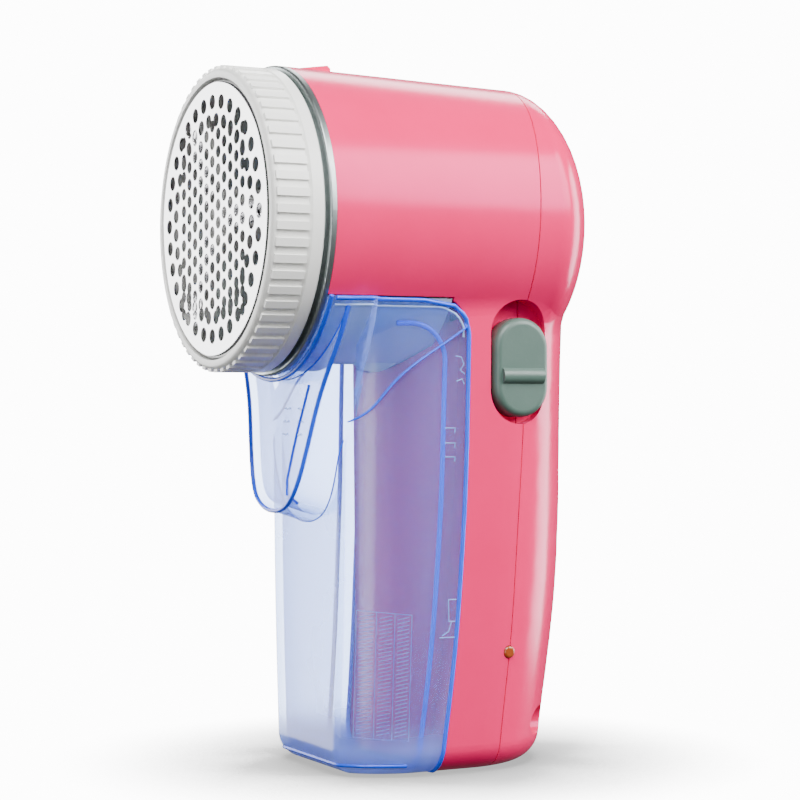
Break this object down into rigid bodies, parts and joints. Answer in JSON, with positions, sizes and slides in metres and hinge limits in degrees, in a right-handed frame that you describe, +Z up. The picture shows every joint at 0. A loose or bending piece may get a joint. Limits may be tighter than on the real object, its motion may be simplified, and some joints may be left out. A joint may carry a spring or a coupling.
{
  "type": "fabric shaver",
  "caption": "Hand-held battery fabric shaver with a perforated foil, a ribbed lock ring, a clear pull-off lint box and a thumb slide switch.",
  "frame": {"origin": "centre of the base, under the handle, on the surface that the shaver stands on", "axes": "+Z up along the handle, -Y to the front, where the shaving head faces, +X to the side of the thumb switch"},
  "size_m": [0.063, 0.0792, 0.144],
  "materials": {
    "housing": "glossy pink",
    "ring": "glossy white",
    "foil": "polished",
    "frame_plastic": "matt",
    "collar": "satin metallic grey",
    "chamber": "matt grey",
    "lint_box": "clear light blue",
    "switch": "satin grey-green",
    "lamp": "clear amber",
    "cutter_plastic": "matt",
    "blade": "ground",
    "spring": "drawn",
    "motor": "zinc plated",
    "dark_plastic": "matt black",
    "shaft": "ground",
    "screw": "plated",
    "board": "solder mask",
    "component": "moulded",
    "cell": "sleeve",
    "strip": "nickel",
    "tray": "matt",
    "pin": "plated",
    "wire_red": "insulation",
    "wire_black": "insulation"
  },
  "bodies": {
    "body": {"battery_cells": "cell", "battery_strips": "strip", "battery_tray": "tray", "battery_wires": "wire_black", "blade_chamber": "chamber", "board_components": "component", "charge_inlet": "dark_plastic", "charge_led": "lamp", "circuit_board": "board", "collar_ring": "collar", "front_housing": "housing", "housing_screws": "screw", "inlet_pins": "pin", "motor_can": "motor", "motor_end_cap": "dark_plastic", "motor_screws": "screw", "motor_wires": "wire_red", "rear_housing": "housing", "slide_switch_body": "dark_plastic"},
    "ring": {"lock_ring": "ring"},
    "foil": {"foil_guard": "foil", "foil_frame": "frame_plastic"},
    "cutter": {"motor_shaft": "shaft", "drive_hub": "cutter_plastic", "cutter_fan": "cutter_plastic", "blade_carrier": "cutter_plastic", "cutter_blades": "blade", "cutter_spring": "spring"},
    "switch": {"switch_button": "switch", "switch_slider": "dark_plastic"},
    "box": {"lint_box": "lint_box"}
  },
  "joints": [
    {"name": "foil_lift", "type": "slide", "parent": "body", "child": "foil", "axis": [0, -1, 0], "range_m": [0, 0.004]},
    {"name": "ring_turn", "type": "hinge", "parent": "foil", "child": "ring", "pos_m": [0, -0.042, 0.1118], "axis": [0, -1, 0], "range_deg": [0, 120]},
    {"name": "cutter_spin", "type": "hinge", "parent": "body", "child": "cutter", "pos_m": [0, -0.03, 0.1118], "axis": [0, -1, 0], "continuous": true},
    {"name": "switch_slide", "type": "slide", "parent": "body", "child": "switch", "axis": [0, 0, 1], "range_m": [0, 0.0033]},
    {"name": "lint_box_slide", "type": "slide", "parent": "body", "child": "box", "axis": [0, -0.0995, -0.995], "range_m": [0, 0.1]}
  ],
  "couplings": [
    {"joint": "foil_lift", "follows": "ring_turn", "m_per_rad": 0.0019099}
  ]
}
